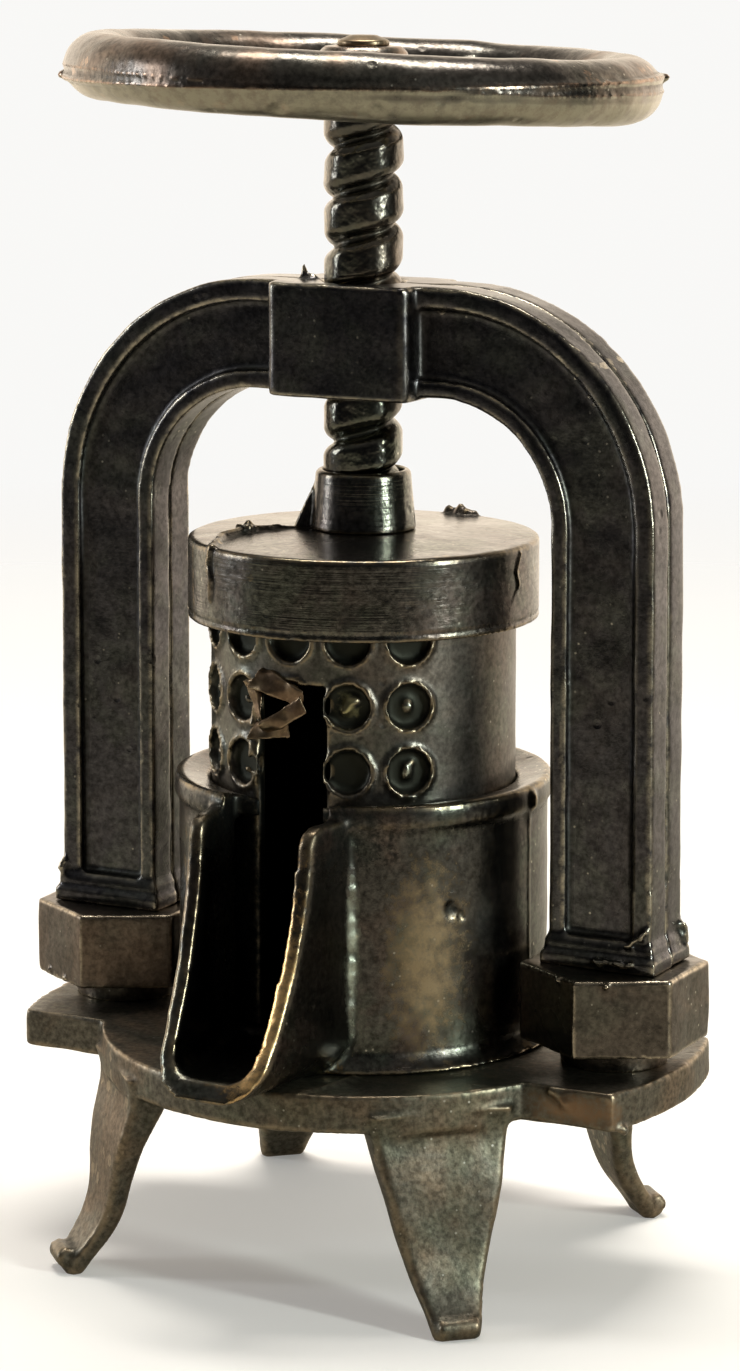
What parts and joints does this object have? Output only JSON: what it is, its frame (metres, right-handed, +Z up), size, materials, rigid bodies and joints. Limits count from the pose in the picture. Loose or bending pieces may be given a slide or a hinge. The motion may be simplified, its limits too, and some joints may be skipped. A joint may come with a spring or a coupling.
{
  "type": "miniature screw fruit press",
  "caption": "Small cast screw press: handwheel and coarse screw lower a cap over a slotted basket in a spouted vessel, under a round-shouldered yoke on a four-legged stand.",
  "frame": {"origin": "on the screw's axis, at the level that the four feet stand on", "axes": "+Z up along the screw, -Y towards the spout, +X along the yoke and the cross bar"},
  "size_m": [0.0534, 0.0465, 0.091],
  "materials": {
    "stand_casting": "blackened bronze-tinted casting, satin",
    "vessel_casting": "blackened casting rubbed back to ochre and brass on the high places",
    "basket_casting": "blackened casting, satin",
    "yoke_casting": "blackened casting with fine-grained dark panels",
    "cap_casting": "blackened casting, satin",
    "wheel_casting": "blackened casting with coppery worn streaks, glossy",
    "screw_casting": "blackened casting, glossy crests",
    "nut_casting": "blackened casting with rubbed edges",
    "fixing_steel": "darkened steel",
    "bush_brass": "dull brass",
    "end_nut_brass": "tarnished brass"
  },
  "bodies": {
    "frame": {"base_stand": "stand_casting", "vessel": "vessel_casting", "basket": "basket_casting", "left_neck_washer": "nut_casting", "left_hex_nut": "nut_casting", "left_tie_screw": "fixing_steel", "right_neck_washer": "nut_casting", "right_hex_nut": "nut_casting", "right_tie_screw": "fixing_steel", "yoke_front_half": "yoke_casting", "yoke_back_half": "yoke_casting", "yoke_dowels": "fixing_steel", "crown_nut": "bush_brass", "vessel_screws": "fixing_steel"},
    "cap": {"press_cap": "cap_casting", "cap_sleeve": "cap_casting", "thrust_washer": "bush_brass", "follower_plate": "cap_casting", "follower_screws": "fixing_steel"},
    "screw": {"screw_spindle": "screw_casting", "retaining_clip": "fixing_steel", "handwheel": "wheel_casting", "wheel_pin": "fixing_steel", "wheel_end_nut": "end_nut_brass"}
  },
  "joints": [
    {"name": "cap_slide", "type": "slide", "parent": "frame", "child": "cap", "axis": [0, 0, 1], "range_m": [-0.00198, 0.00496]},
    {"name": "wheel_turn", "type": "hinge", "parent": "cap", "child": "screw", "pos_m": [0, 0, 0.08765], "axis": [0, 0, 1], "range_deg": [-198, 495]}
  ],
  "couplings": [
    {"joint": "cap_slide", "follows": "wheel_turn", "m_per_rad": 0.00057296}
  ]
}
